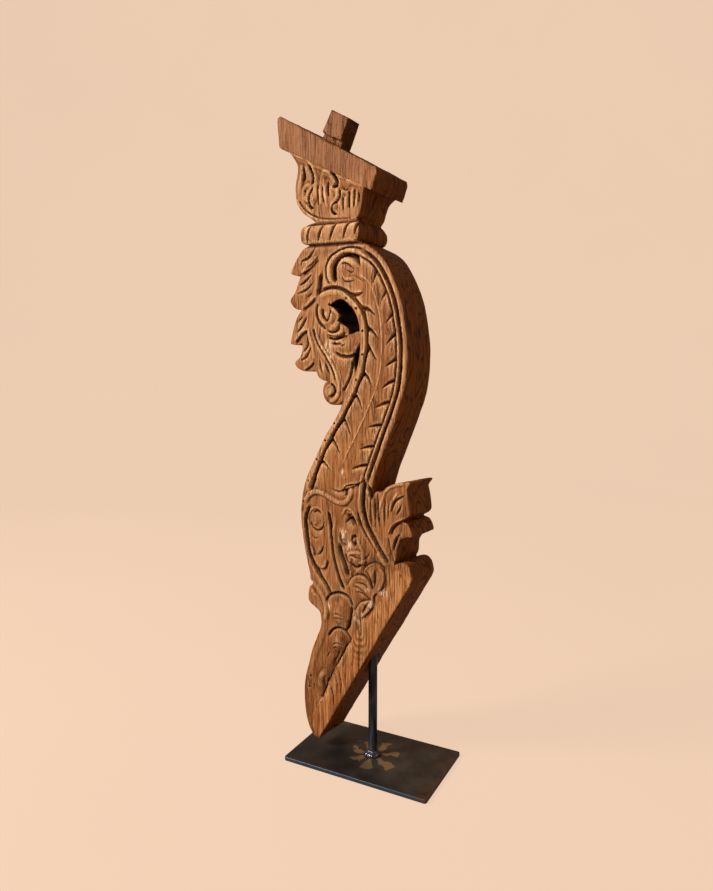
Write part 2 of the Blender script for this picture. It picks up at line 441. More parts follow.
def inside_loop(x, z, loop):
    """True where a point lies inside a closed loop."""
    found = np.zeros(x.shape, bool)
    for a, b in zip(loop, np.roll(loop, -1, axis=0)):
        crosses = (a[1] > z) != (b[1] > z)
        rise = b[1] - a[1] if b[1] != a[1] else 1e-9
        found ^= crosses & (x < a[0] + (z - a[1]) * (b[0] - a[0]) / rise)
    return found


def swell(share):
    """A round hump that is 1 at 0 and 0 from 1 on."""
    return 0.5 + 0.5 * np.cos(math.pi * np.clip(share, 0, 1))


def ease(share):
    """A smooth step from 0 to 1."""
    share = np.clip(share, 0, 1)
    return share * share * (3 - 2 * share)


def tapered(share, line, run):
    """A stroke's strength along its line: 1, but running out to 0 over the last millimetres at both ends."""
    length = np.hypot(*np.diff(line, axis=0).T).sum()
    return ease(np.minimum(share, 1 - share) * length / run)


def cloud(points, size, seed):
    """Smooth noise from -1 to 1 at points in millimetres, with blobs of about the given size on each axis."""
    table = np.random.default_rng(seed).uniform(-1, 1, (32, 32, 32))
    scaled = points / np.asarray(size, float)
    cell = np.floor(scaled).astype(int)
    part = ease(scaled - cell)
    total = np.zeros(len(points))
    for corner in np.ndindex(2, 2, 2):
        weight = np.prod(np.where(corner, part, 1 - part), axis=1)
        i, j, k = ((cell + corner) % 32).T
        total += weight * table[i, j, k]
    return total


def bead(height, x, z, half_width, amount, points):
    """A rounded rib with a faint quirk on both sides."""
    part, line, far, share, _ = stroke(x, z, points, 3.0, half_width * 1.8)
    ends = tapered(share, line, half_width * 2)
    across = far / half_width
    height[part] += 0.85 * amount * ends * np.clip(1 - across**2, 0, 1) ** 0.6
    height[part] -= 0.16 * amount * ends * swell(np.abs(across - 1.3) / 0.5)


def hollow(height, x, z, half_width, depth, points):
    """A round-bottomed groove that narrows and runs out at both ends."""
    part, line, far, share, _ = stroke(x, z, points, 3.0, half_width * 1.5)
    ends = tapered(share, line, half_width * 2.5)
    across = far / (half_width * (0.35 + 0.65 * ends))
    height[part] -= depth * ends * np.clip(1 - across**2, 0, 1) ** 0.75


def slash(height, x, z, half_width, depth, points, root=0.0):
    """A chisel cut with straight flanks that narrows to its ends, or only to its tip where it has a root."""
    part, _, far, share, _ = stroke(x, z, points, 2.0, half_width * 2)
    body = np.sin(math.pi * np.clip(share, 0.02, 0.98)) ** 0.6
    width = body * (1 - root) + root * (1.2 - 1.1 * share)
    height[part] -= depth * width**0.6 * np.clip(1 - far / (half_width * width + 0.2), 0, 1)


def step_down(height, x, z, depth, reach, points):
    """A drop beside a form's edge that rises back to the ground over a reach."""
    part, line, far, share, side = stroke(x, z, points, 3.0, reach * 1.6)
    ends = tapered(share, line, reach * 0.8)
    lower = ease((far * side + 0.5) / 1.2)
    fall = np.exp(-((far / reach) ** 2) * 2.5) * (far < reach * 1.55)
    height[part] -= depth * ends * lower * fall
    height[part] += 0.35 * depth * ends * (1 - lower) * fall


def scroll_rim(height, far, share):
    """The mouldings that follow the scroll's outer edge: a flat rim, a valley, a bead and a dark quirk."""
    ends = ease(share * 9) * ease((1 - share) * 12) * (far < RIM_REACH)
    mouldings = (RIM_VALLEY, RIM_BEAD, RIM_QUIRK)
    valley, round_bead, quirk = (np.abs(far - place) / half for place, half, _ in mouldings)
    profile = 0.9 * ease((9.5 - far) / 3) - RIM_VALLEY[2] * np.clip(1 - valley**2, 0, 1) ** 0.8
    profile = profile + RIM_BEAD[2] * np.sqrt(np.clip(1 - round_bead**2, 0, 1))
    height += ends * (profile - RIM_QUIRK[2] * np.clip(1 - quirk, 0, 1))


def inner_band(height, far, share, side):
    """The plain band round the eye and down the scroll's left edge, parted from the frond by a sunk quirk."""
    ends = ease(share * 14) * (far < 14)
    height -= ends * 4.8 * np.clip(1 - (far / 3.2) ** 2, 0, 1) ** 0.8
    height += ends * 1.3 * np.where(side < 0, ease((far - 2.2) / 2) * ease((13 - far) / 3), 0)


def frond(height, x, z, held):
    """The long frond inside its mouldings: a crest line, round-backed lobes and the cuts between them."""
    carving = np.zeros(x.shape)
    line = smooth_line(CREST, 3.0)
    far, share, _ = near_line(x, z, line, 30.0)
    ends = ease(np.minimum(share * 4, 1 - share) * 10) * swell(far / 30)
    carving += ends * (1.3 * np.exp(-far / 9.0) + 1.3 * np.exp(-((far / 1.3) ** 2)))
    for cuts in (RIGHT_CUTS, LEFT_CUTS):
        for cut, following in zip(cuts, cuts[1:]):
            inner, outer = ((np.array(cut[end]) + following[end]) / 2 for end in (-1, 0))
            part, _, away, along, _ = stroke(x, z, [inner, outer], 3.0, 14.0)
            carving[part] += 2.0 * (0.3 + 0.7 * along) * swell(away / 13.0)
        for cut in cuts:
            slash(carving, x, z, 3.9, 7.4, cut, 0.9)
            step_down(carving, x, z, 1.3, 9.0, cut[::-1])
    height += carving * held


def collar_relief(x, z):
    """The roped collar's round face and slanting turns."""
    (left, left_z), (right, right_z) = COLLAR_LINE
    share = (x - left) / (right - left)
    up = (z - left_z - share * (right_z - left_z)) / COLLAR_HALF_HEIGHT
    face = np.sqrt(np.clip(1 - np.abs(up) ** 2.4, 0, 1))
    height = (COLLAR_STAND + 0.6) * face
    for turn in ROPE_TURNS:
        slash(height, x, z, 2.8, 5.4, turn)
        line = smooth_line([(px + 12, pz) for px, pz in turn], 3.0)
        far, _, _ = near_line(x, z, line, 14.0)
        height += 1.2 * swell(far / 12.0) * face
    return np.where(np.abs(up) < 1, height, 0.0), np.abs(up)


def wedge_rings(x, z):
    """Worn growth rings on the plain wedge: U shapes in its lower half, upright lines above."""
    wobble = cloud(flat(x, z), (14, 46, 10), RING_SEED) * 2.2
    beside, below = np.abs(x - RING_CENTRE[0]), np.abs(np.minimum(z - RING_CENTRE[1], 0)) * 0.46
    across = np.cbrt(beside**3 + below**3) + wobble
    strength = 0.75 + 0.25 * cloud(np.stack([x, z, across], axis=1), (20, 60, 9), RING_SEED + 1)
    return np.sin(across * 2 * math.pi / RING_SPACE) * strength


def carved(x, z, full):
    """How far a carved face stands in front of the plank's flat one. The full one has the damage too."""
    height = np.full(x.shape, GROUND)
    rim, along_rim, _ = near_line(x, z, smooth_line(SCROLL_RIGHT, 3.0), 26.0)
    band, along_band, band_side = near_line(x, z, smooth_line(INNER_BAND, 3.0), 14.0)
    held = ease((rim - 17.4) / 1.6) * np.where(band_side > 0, ease(band / 1.6), 0)
    frond(height, x, z, held)
    scroll_rim(height, rim, along_rim)
    inner_band(height, band, along_band, band_side)
    for centre, sizes, amount in SWELLS:
        part = around(x, z, np.array([centre, centre], float), max(sizes))
        height[part] += amount * swell(oval(x[part], z[part], centre, sizes))
    slashes = SLASHES if full else SLASHES[:BACK_SLASHES]
    for tool, marks in ((bead, BEADS), (hollow, HOLLOWS), (step_down, STEPS), (slash, slashes)):
        for mark in marks:
            tool(height, x, z, *mark)
    if full:
        spots = flat(x, z)
        rough = cloud(spots, (3.5, 7, 5), 5) + 0.6 * cloud(spots, (1.8, 4, 5), 6)
        for centre, sizes, amount in BREAKS:
            away = oval(x, z, centre, sizes) + 0.25 * rough
            height -= amount * ease((1 - away) / 0.5) * (1 + 0.35 * rough)
        for across, up in NAIL_HOLES:
            height -= NAIL_DEPTH * ease((NAIL_RADIUS - np.hypot(x - across, z - up)) / 0.8 + 0.5)
    # The strip behind the buds falls away from a crisp edge that leaves the plain wedge proud
    edge = smooth_line(STRIP_EDGE, 3.0)
    far, share, side = near_line(x, z, edge, STRIP_REACH)
    sunk = np.where(side < 0, ease(far / 2.2) * np.exp(-((far / STRIP_REACH) ** 2) * 3.0), 0)
    height -= STRIP_DEPTH * sunk * ease(np.minimum(share, 1 - share) * 5) * (far < STRIP_REACH)
    height += 1.2 * np.exp(-((far / 1.3) ** 2)) * ease(share * 3) * (far < STRIP_REACH)
    wedge = smooth_line(WEDGE + WEDGE[:1], 4.0)
    plain = inside_loop(x, z, wedge) * ease(near_line(x, z, wedge, 8.0)[0] / 8)
    height += plain * (0.6 + 0.4 * ease((z - 110) / 70) * wedge_rings(x, z))
    # The head: a hollow curve under the abacus, and the neck above the collar
    (left_x, left_z), (right_x, right_z) = ABACUS_FOOT
    slope = (right_z - left_z) / (right_x - left_x)
    under = (left_z + slope * (x - left_x) - z) / math.hypot(1, slope)
    collar_face, up = collar_relief(x, z)
    head = z > COLLAR_LINE[1][1] + 4
    height += np.where(head, 9.0 * np.clip(1 - np.clip(under, 0, 99) / 26, 0, 1) ** 2 + 0.6, 0.0)
    height = np.where(up < 1, np.maximum(collar_face - 0.6, height - 2.0), height)
    height -= 1.8 * swell((up - 1.12) / 0.28) * (up > 0.9)
    return height


def blurred(table, reach):
    """A table smoothed twice with a square window of about twice the reach, in cells."""
    for _ in range(2):
        padded = np.pad(table, reach + 1, mode="edge")
        run = np.cumsum(np.cumsum(padded, axis=0), axis=1)
        wide = 2 * reach + 1
        total = run[wide:, wide:] - run[:-wide, wide:] - run[wide:, :-wide] + run[:-wide, :-wide]
        table = total[: table.shape[0], : table.shape[1]] / wide**2
    return table


class Relief:
    """The carved height of one face, worked out once on a regular table and read anywhere from it."""

    def __init__(self, step, full):
        self.step = step
        self.low = np.array(TABLE_LOW)
        self.shape = tuple(int(size / step) for size in TABLE_SIZE)
        across = self.low[0] + np.arange(self.shape[0]) * step
        up = self.low[1] + np.arange(self.shape[1]) * step
        x, z = (grid.ravel() for grid in np.meshgrid(across, up, indexing="ij"))
        self.height = carved(x, z, full).reshape(self.shape)
        self.near = blurred(self.height, int(NEAR_BLUR / step))
        self.wide = blurred(self.height, int(WIDE_BLUR / step))

    def read(self, table, x, z):
        """A table's value at drawn places, in between its cells."""
        column = np.clip((x - self.low[0]) / self.step, 0, self.shape[0] - 1.001)
        row = np.clip((z - self.low[1]) / self.step, 0, self.shape[1] - 1.001)
        i, j = column.astype(int), row.astype(int)
        u, v = column - i, row - j
        return ((table[i, j] * (1 - u) + table[i + 1, j] * u) * (1 - v)
                + (table[i, j + 1] * (1 - u) + table[i + 1, j + 1] * u) * v)


def placed(name, data):
    """A new object in the scene for a mesh, a lamp or a camera."""
    made = bpy.data.objects.new(name, data)
    bpy.context.scene.collection.objects.link(made)
    return made


def points_of(mesh):
    """A mesh's vertices as a table in drawn millimetres."""
    spots = np.empty(len(mesh.vertices) * 3)
    mesh.vertices.foreach_get("co", spots)
    return spots.reshape(-1, 3) * 1000 - (0, 0, TOE_HEIGHT)


def put_points(mesh, spots):
    """Moves a mesh's vertices to a table of drawn millimetres."""
    mesh.vertices.foreach_set("co", ((spots + (0, 0, TOE_HEIGHT)) / 1000).ravel())
    mesh.update()


def normals_of(mesh):
    """A mesh's vertex normals as a table."""
    table = np.empty(len(mesh.vertices) * 3)
    mesh.vertices.foreach_get("normal", table)
    return table.reshape(-1, 3)


def cut_grid(loops, step):
    """A flat grid facing -Y, cut to an outline and its holes, with its rim drawn onto them."""
    low, high = loops[0].min(axis=0) - step, loops[0].max(axis=0) + step
    columns, rows = (int(count) for count in np.ceil((high - low) / step))
    middle = (low[0] + columns * step / 2, 0, low[1] + rows * step / 2)
    spread = Matrix.Diagonal((columns * step, rows * step, 1, 1))
    place = Matrix.Translation(middle) @ Matrix.Rotation(math.radians(90), 4, "X") @ spread
    working = bmesh.new()
    bmesh.ops.create_grid(working, x_segments=columns, y_segments=rows, size=0.5, matrix=place)
    middles = np.array([face.calc_center_median() for face in working.faces])
    kept = inside_loop(middles[:, 0], middles[:, 2], loops[0])
    for hole in loops[1:]:
        kept &= ~inside_loop(middles[:, 0], middles[:, 2], hole)
    outside = [face for face, keep in zip(working.faces, kept) if not keep]
    bmesh.ops.delete(working, geom=outside, context="FACES")
    for _ in range(4):
        pinched = {face for vert in working.verts if sum(edge.is_boundary for edge in vert.link_edges) > 2
                   for face in vert.link_faces}
        if pinched:
            bmesh.ops.delete(working, geom=list(pinched), context="FACES")
    rail = KDTree(sum(len(loop) for loop in loops))
    for number, (x, z) in enumerate(np.vstack(loops)):
        rail.insert((x, 0, z), number)
    rail.balance()
    for vert in working.verts:
        if vert.is_boundary:
            vert.co = rail.find(vert.co)[0]
    return working


def slab(name, loops, step, rows, front, back):
    """A solid between two carved faces, whose half thickness front and back give at drawn places."""
    working = cut_grid(loops, step)
    depth = working.verts.layers.float.new("row")
    edges = [edge for edge in working.edges if edge.is_boundary]
    for row in range(1, rows + 1):
        grown = bmesh.ops.extrude_edge_only(working, edges=edges)["geom"]
        fresh = {item for item in grown if isinstance(item, bmesh.types.BMVert)}
        for vert in fresh:
            vert[depth] = row / rows
        edges = [item for item in grown if isinstance(item, bmesh.types.BMEdge) and set(item.verts) <= fresh]
    half = bpy.data.meshes.new(name)
    working.to_mesh(half)
    working.free()
    share = np.empty(len(half.vertices))
    half.attributes["row"].data.foreach_get("value", share)
    spots = np.empty(len(half.vertices) * 3)
    half.vertices.foreach_get("co", spots)
    spots = spots.reshape(-1, 3)
    whole = bmesh.new()
    for side, thickness in ((-1, front), (1, back)):
        spots[:, 1] = side * thickness(spots[:, 0], spots[:, 2]) * (1 - share)
        put_points(half, spots)
        whole.from_mesh(half)
    bmesh.ops.remove_doubles(whole, verts=whole.verts[:], dist=0.00002)
    bmesh.ops.recalc_face_normals(whole, faces=whole.faces[:])
    bmesh.ops.triangulate(whole, faces=whole.faces[:])
    whole.to_mesh(half)
    whole.free()
    return placed(name, half)


def rim_distance(x, z, loops, reach):
    """Each place's distance from the nearest outline, up to a reach."""
    far = np.full(x.shape, float(reach))
    for loop in loops:
        far = np.minimum(far, near_line(x, z, np.vstack([loop, loop[:1]]), reach)[0])
    return far


def worn_rim(x, z, loops, arris, seed):
    """How far a face drops at its outline, where the arris is rubbed round, here more and there less."""
    least, most = arris
    radius = least + (most - least) * (0.5 + 0.5 * cloud(flat(x, z), (17, 23, 9), seed)) ** 1.5
    far = rim_distance(x, z, loops, most)
    short = np.clip(radius - far, 0, None)
    return radius - np.sqrt(np.clip(radius**2 - short**2, 0, None))


def weather(piece, amounts):
    """Small uneven dents and chisel marks over a whole piece, along its normals."""
    spots = points_of(piece.data)
    shift = np.zeros(len(spots))
    for size, amount, seed in amounts:
        shift += amount * cloud(spots, size, seed)
    put_points(piece.data, spots + normals_of(piece.data) * shift[:, None])


def applied(piece):
    """The piece with its modifiers worked into its mesh."""
    view = bpy.context.evaluated_depsgraph_get()
    worked = bpy.data.meshes.new_from_object(piece.evaluated_get(view))
    piece.modifiers.clear()
    piece.data = worked
    return piece


def thinned(piece, triangles):
    """The piece with only about so many triangles."""
    modifier = piece.modifiers.new("Thinned", "DECIMATE")
    modifier.ratio = min(1.0, triangles / len(piece.data.polygons))
    return applied(piece)


def joined(piece, other, operation):
    """The piece with another solid added to it or taken from it."""
    modifier = piece.modifiers.new(other.name, "BOOLEAN")
    modifier.object = other
    modifier.operation = operation
    modifier.solver = "MANIFOLD"
    applied(piece)
    bpy.data.objects.remove(other)
    return piece


def bored(radius, low, high, name):
    """A plain round cutter between two drawn heights on the rod's axis."""
    working = bmesh.new()
    bmesh.ops.create_cone(working, cap_ends=True, segments=48, radius1=radius / 1000, radius2=radius / 1000,
                          depth=(high - low) / 1000)
    bmesh.ops.translate(working, verts=working.verts[:], vec=(0, 0, ((low + high) / 2 + TOE_HEIGHT) / 1000))
    mesh = bpy.data.meshes.new(name)
    working.to_mesh(mesh)
    working.free()
    return placed(name, mesh)


def wall_height():
    """The drawn height at which the rod meets the slanting face."""
    (left, low), (right, high) = WALL_CUT
    return low - left * (high - low) / (right - left)


def abacus_frame():
    """The abacus's sloping top: its left end, its run, and the directions along it and out of it."""
    start, end = (np.array(point, float) for point in ABACUS_TOP)
    along = (end - start) / np.linalg.norm(end - start)
    return start, end - start, along, np.array([-along[1], along[0]])


def tenon_outline():
    """The tenon's corners, square to the abacus's sloping top."""
    start, run, along, out = abacus_frame()
    root = start + TENON_PLACE * run
    half = along * TENON_WIDTH / 2
    corners = [root - half - out * TENON_ROOT, root + half + along * TENON_FLARE - out * TENON_ROOT,
               root + half + out * TENON_HEIGHT, root - half + out * TENON_HEIGHT]
    return [[tuple(a), tuple(b)] for a, b in zip(corners, corners[1:] + corners[:1])]


def break_ledge(tenon):
    """The rough recess that was split out along the foot of the tenon's front."""
    spots = points_of(tenon.data)
    start, _, _, out = abacus_frame()
    over = (spots[:, [0, 2]] - start) @ out
    rough = cloud(spots, (4, 4, 4), 51)
    sunk = ease((TENON_LEDGE + 1.6 * rough - over) / 1.5) * (spots[:, 1] < -2)
    spots[:, 1] += sunk * (6.0 + 1.2 * rough)
    put_points(tenon.data, spots)


def make_timber(front, back):
    """The whole timber in one solid: the carved plank, the abacus and the tenon, with the rod's socket."""
    loops = [closed_loop(chains, 0.5) for chains in (OUTLINE, CRESCENT_HOLE, SLIT_HOLE)]
    coarse = [loop[::6] for loop in loops]

    def face(relief):
        """The half thickness under a carved face."""
        def half(x, z):
            return PLANK / 2 + relief.read(relief.height, x, z) - worn_rim(x, z, coarse, PLANK_ARRIS, 41)
        return half

    timber = slab("carved_timber", loops, CUT_STEP, WALL_ROWS, face(front), face(back))
    weather(timber, [((9, 9, 15), 0.35, 11), ((4, 4, 9), 0.16, 12), ((30, 30, 50), 0.6, 13)])
    thinned(timber, TIMBER_TRIANGLES)

    def block(name, chains, depth, row_count, arris, seed):
        """A plain sawn block of one depth with worn arrises."""
        loop = closed_loop(chains, 0.5)

        def half(x, z):
            return depth / 2 - worn_rim(x, z, [loop[::6]], arris, seed)
        piece = slab(name, [loop], HEAD_STEP, row_count, half, half)
        weather(piece, [((13, 13, 13), 0.4, seed), ((5, 5, 5), 0.2, seed + 1)])
        return piece

    abacus = block("abacus", ABACUS, ABACUS_DEPTH, ABACUS_ROWS, ABACUS_ARRIS, 21)
    tenon = block("tenon", tenon_outline(), TENON_DEPTH, TENON_ROWS, TENON_ARRIS, 31)
    break_ledge(tenon)
    joined(timber, abacus, "UNION")
    joined(timber, tenon, "UNION")
    joined(timber, bored(SOCKET_RADIUS, -10, wall_height() + SOCKET_DEPTH, "socket"), "DIFFERENCE")
    joined(timber, bored(MOUTH_RADIUS, -10, wall_height() + MOUTH_DEPTH, "mouth"), "DIFFERENCE")
    # The wear must not push the abacus's left end out past the solid's
    spots = points_of(timber.data)
    spots[:, 0] = np.maximum(spots[:, 0], ABACUS_LEFT)
    put_points(timber.data, spots)
    return timber


def mark_surface(timber, front, back):
    """Writes where the surface is sunk, rubbed or on the plank's side, for the wood's colours."""
    mesh = timber.data
    spots = points_of(mesh)
    x, y, z = spots.T
    sunk, rubbed, face = (np.zeros(len(spots)) for _ in range(3))
    for relief, part in ((front, y <= 0), (back, y > 0)):
        height = relief.read(relief.height, x[part], z[part])
        near = relief.read(relief.near, x[part], z[part])
        wide = relief.read(relief.wide, x[part], z[part])
        sunk[part] = ease((near - height - 0.1) / 1.3) * 0.75 + ease((wide - height - 0.4) / 3.6) * 0.36
        rubbed[part] = ease((height - near - 0.03) / 0.8) * 0.75 + ease((height - wide - 0.3) / 2.4) * 0.4
        sunk[part] += ease((-2.2 - height) / 6) * 0.35
        face[part] = PLANK / 2 + height
    head = inside_loop(x, z, closed_loop(ABACUS, 5))
    face = np.where(head, ABACUS_DEPTH / 2, face)
    start, run, _, _ = abacus_frame()
    tenon = z - start[1] > run[1] / run[0] * (x - start[0]) + 1
    face = np.where(tenon & (z > ABACUS_FOOT[1][1]), TENON_DEPTH / 2, face)
    side = np.clip((face - np.abs(y) - 0.4) / 1.2, 0, 1)
    plain = head | tenon | (side > 0.5)
    holes = [closed_loop(hole, 3.0) for hole in (CRESCENT_HOLE, SLIT_HOLE)]
    soot = ease((4.5 - rim_distance(x, z, holes, 6.0)) / 3.5) * ease((PLANK / 2 - 1.5 - np.abs(y)) / 5)
    bare = np.zeros(len(x))
    ragged = 0.3 * cloud(flat(x, z), (3, 8, 5), 61)
    for centre, sizes in BARE:
        away = oval(x, z, centre, sizes) + ragged
        bare = np.maximum(bare, ease((1 - away) / 0.6) * (y < 0) * (side < 0.3))
    wedge = closed_loop(zip(WEDGE, WEDGE[1:] + WEDGE[:1]), 4.0)
    ring = inside_loop(x, z, wedge) * (y < 0) * (0.5 + 0.5 * ease((z - 95) / 80) * wedge_rings(x, z))
    turned_away = ease((0.82 - np.abs(normals_of(mesh)[:, 1])) / 0.3)
    values = (np.where(plain, 0, np.clip(sunk, 0, 1)), np.where(plain, 0, np.clip(rubbed, 0, 1)),
              side * turned_away, soot, bare, ring)
    for name, strength in zip(MARKS, values):
        mesh.attributes.new(name, "FLOAT", "POINT").data.foreach_set("value", strength)
    for polygon in mesh.polygons:
        polygon.use_smooth = True
    mesh.set_sharp_from_angle(angle=math.radians(SHARP_EDGE))


def shade(red, green, blue):
    """A colour given as it looks on a screen, from 0 to 255."""
    linear = (((c / 255 + 0.055) / 1.055) ** 2.4 if c > 10 else c / 3294.6 for c in (red, green, blue))
    return (*linear, 1.0)


def node(tree, kind, settings=None, inputs=None):
    """A shader node with its settings. Each input is a value or another node's output."""
    made = tree.nodes.new("ShaderNode" + kind)
    for name, value in (settings or {}).items():
        setattr(made, name, value)
    for name, value in (inputs or {}).items():
        if isinstance(value, bpy.types.NodeSocket):
            tree.links.new(value, made.inputs[name])
        else:
            made.inputs[name].default_value = value
    return made


def calculate(tree, operation, first, second=0.0, third=0.0):
    """The result of a sum on values or outputs."""
    return node(tree, "Math", {"operation": operation}, {0: first, 1: second, 2: third}).outputs[0]


def times(tree, first, second):
    """Two values or outputs multiplied."""
    return calculate(tree, "MULTIPLY", first, second)


def between(tree, value, low, high):
    """0 below low and 1 above high, with a smooth step between."""
    return node(tree, "MapRange", {"interpolation_type": "SMOOTHSTEP"},
                {"Value": value, "From Min": low, "From Max": high}).outputs[0]


def mixed(tree, share, first, second, kind="MIX"):
    """The first colour at a share of 0 and the second at 1."""
    settings = {"data_type": "RGBA", "blend_type": kind}
    return node(tree, "Mix", settings, {"Factor": share, 6: first, 7: second}).outputs[2]


def laid(tree, under, mask, strength, colour):
    """A colour laid over another through a mask, at a strength from 0 to 1."""
    return mixed(tree, times(tree, mask, strength), under, colour)


def noise(tree, coords, along, scale, detail, rough):
    """A noise pattern in metres, drawn out up the piece where its scale along is under 1."""
    spread = node(tree, "Mapping", None, {"Vector": coords, "Scale": (1, 1, along)}).outputs[0]
    inputs = {"Vector": spread, "Scale": scale, "Detail": detail, "Roughness": rough}
    return node(tree, "TexNoise", None, inputs).outputs[0]


def surface_group(name, inputs, outputs):
    """An empty node group with named inputs and outputs, and the two nodes that carry them."""
    tree = bpy.data.node_groups.new(name, "ShaderNodeTree")
    for label, kind, value in inputs:
        socket = tree.interface.new_socket(label, in_out="INPUT", socket_type=kind)
        socket.default_value = value
    for label, kind in outputs:
        tree.interface.new_socket(label, in_out="OUTPUT", socket_type=kind)
    return tree, tree.nodes.new("NodeGroupInput"), tree.nodes.new("NodeGroupOutput")


def new_material(name):
    """A material with its shader on its output, and the piece's own coordinates."""
    material = bpy.data.materials.new(name)
    material.use_nodes = True
    tree = material.node_tree
    tree.nodes.clear()
    surface = tree.nodes.new("ShaderNodeBsdfPrincipled")
    result = tree.nodes.new("ShaderNodeOutputMaterial")
    tree.links.new(surface.outputs[0], result.inputs[0])
    coords = tree.nodes.new("ShaderNodeTexCoord").outputs["Object"]
    return material, tree, surface, coords


def old_wood():
    """Dry old hardwood with its grain up the plank, dark in the cuts and pale where it was rubbed."""
    material, tree, surface, plain = new_material("old carved wood")
    wander = node(tree, "Mapping", None, {"Vector": plain, "Scale": (1, 1, 0.4)}).outputs[0]
    wander = node(tree, "TexNoise", None, {"Vector": wander, "Scale": 16.0, "Detail": 2.0}).outputs["Color"]
    wander = node(tree, "VectorMath", {"operation": "MULTIPLY_ADD"},
                  {0: wander, 1: (0.022, 0.022, 0), 2: plain}).outputs[0]
    coords = node(tree, "VectorMath", {"operation": "SUBTRACT"}, {0: wander, 1: (0.011, 0.011, 0)}).outputs[0]
    marks = {name: node(tree, "Attribute", {"attribute_name": name}).outputs["Fac"]
             for name in MARKS}
    slow = noise(tree, coords, 0.09, 24, 2, 0.45)
    rings = calculate(tree, "FRACT", times(tree, slow, 15))
    ring_dark = times(tree, between(tree, rings, 0.62, 0.96),
                          calculate(tree, "SUBTRACT", 1.0, between(tree, rings, 0.96, 1.0)))
    fibre = noise(tree, coords, 0.035, 780, 3, 0.6)
    streak = noise(tree, coords, 0.03, 300, 4, 0.65)
    pores = between(tree, noise(tree, coords, 0.055, 620, 2, 0.5), 0.6, 0.7)
    split = calculate(tree, "SUBTRACT", noise(tree, coords, 0.04, 95, 2, 0.5), 0.5)
    split = calculate(tree, "ABSOLUTE", split)
    split = times(tree, between(tree, split, 0.022, 0.006),
                      between(tree, noise(tree, coords, 0.25, 40, 2, 0.5), 0.42, 0.55))
    patches = noise(tree, coords, 0.6, 11, 3, 0.55)
    tint = mixed(tree, between(tree, patches, 0.35, 0.68), shade(174, 103, 50), shade(210, 138, 78))
    tint = laid(tree, tint, ring_dark, 0.42, shade(106, 54, 20))
    tint = laid(tree, tint, between(tree, streak, 0.48, 0.6), 0.75, shade(226, 162, 100))
    tint = laid(tree, tint, between(tree, streak, 0.46, 0.33), 0.5, shade(88, 44, 17))
    tint = laid(tree, tint, pores, 0.55, shade(50, 25, 11))
    grey = between(tree, noise(tree, coords, 0.35, 17, 3, 0.6), 0.56, 0.7)
    tint = laid(tree, tint, grey, 0.14, shade(172, 132, 92))
    # The foot is darker and less rubbed, and the abacus and tenon are duller than the carving
    up = node(tree, "SeparateXYZ", None, {"Vector": coords}).outputs[2]
    low = between(tree, up, 0.46, 0.38)
    aged = calculate(tree, "MULTIPLY_ADD", between(tree, up, 0.26, 0.14), 0.14, times(tree, low, 0.1))
    tint = mixed(tree, aged, tint, shade(118, 56, 26))
    tint = laid(tree, tint, between(tree, up, 0.868, 0.9), 0.46, shade(112, 60, 14))
    tint = laid(tree, tint, between(tree, marks["ring"], 0.45, 0.1), 0.42, shade(94, 48, 20))
    tint = laid(tree, tint, between(tree, marks["ring"], 0.6, 0.95), 0.45, shade(214, 156, 100))
    tint = laid(tree, tint, split, 0.62, shade(50, 24, 9))
    rubbed = times(tree, marks["worn"], between(tree, fibre, 0.3, 0.6))
    rubbed = times(tree, rubbed, calculate(tree, "MULTIPLY_ADD", low, -0.45, 1.0))
    tint = laid(tree, tint, rubbed, 0.85, shade(240, 188, 134))
    # The sawn sides are varnished amber, with the plank's contours showing
    contour = calculate(tree, "FRACT", times(tree, noise(tree, coords, 0.3, 19, 2, 0.45), 17))
    amber = mixed(tree, between(tree, contour, 0.55, 0.95), shade(150, 78, 3), shade(88, 38, 1))
    amber = laid(tree, amber, between(tree, streak, 0.5, 0.36), 0.5, shade(60, 24, 1))
    amber = laid(tree, amber, between(tree, fibre, 0.62, 0.74), 0.5, shade(190, 108, 20))
    amber = laid(tree, amber, between(tree, up, 0.82, 0.95), 0.5, shade(50, 18, 1))
    tint = laid(tree, tint, marks["side"], 0.97, amber)
    tint = laid(tree, tint, marks["hollow"], 0.94, shade(38, 16, 5))
    chips = times(tree, marks["bare"], between(tree, noise(tree, coords, 0.25, 330, 3, 0.6), 0.46, 0.56))
    tint = laid(tree, tint, chips, 0.8, shade(238, 204, 166))
    tint = laid(tree, tint, marks["soot"], 0.9, shade(16, 9, 5))
    tree.links.new(tint, surface.inputs["Base Color"])
    rough = calculate(tree, "MULTIPLY_ADD", marks["hollow"], 0.25, 0.48)
    rough = calculate(tree, "ADD", rough, times(tree, fibre, 0.18))
    tree.links.new(rough, surface.inputs["Roughness"])
    height = calculate(tree, "MULTIPLY_ADD", fibre, 0.6, times(tree, streak, 1.1))
    for mask, depth in ((pores, 0.6), (ring_dark, 0.35), (split, 0.9)):
        height = calculate(tree, "SUBTRACT", height, times(tree, mask, depth))
    bump = node(tree, "Bump", None, {"Strength": 1.0, "Distance": 0.0011, "Height": height})
    tree.links.new(bump.outputs[0], surface.inputs["Normal"])
    surface.inputs["Specular IOR Level"].default_value = 0.18
    return material


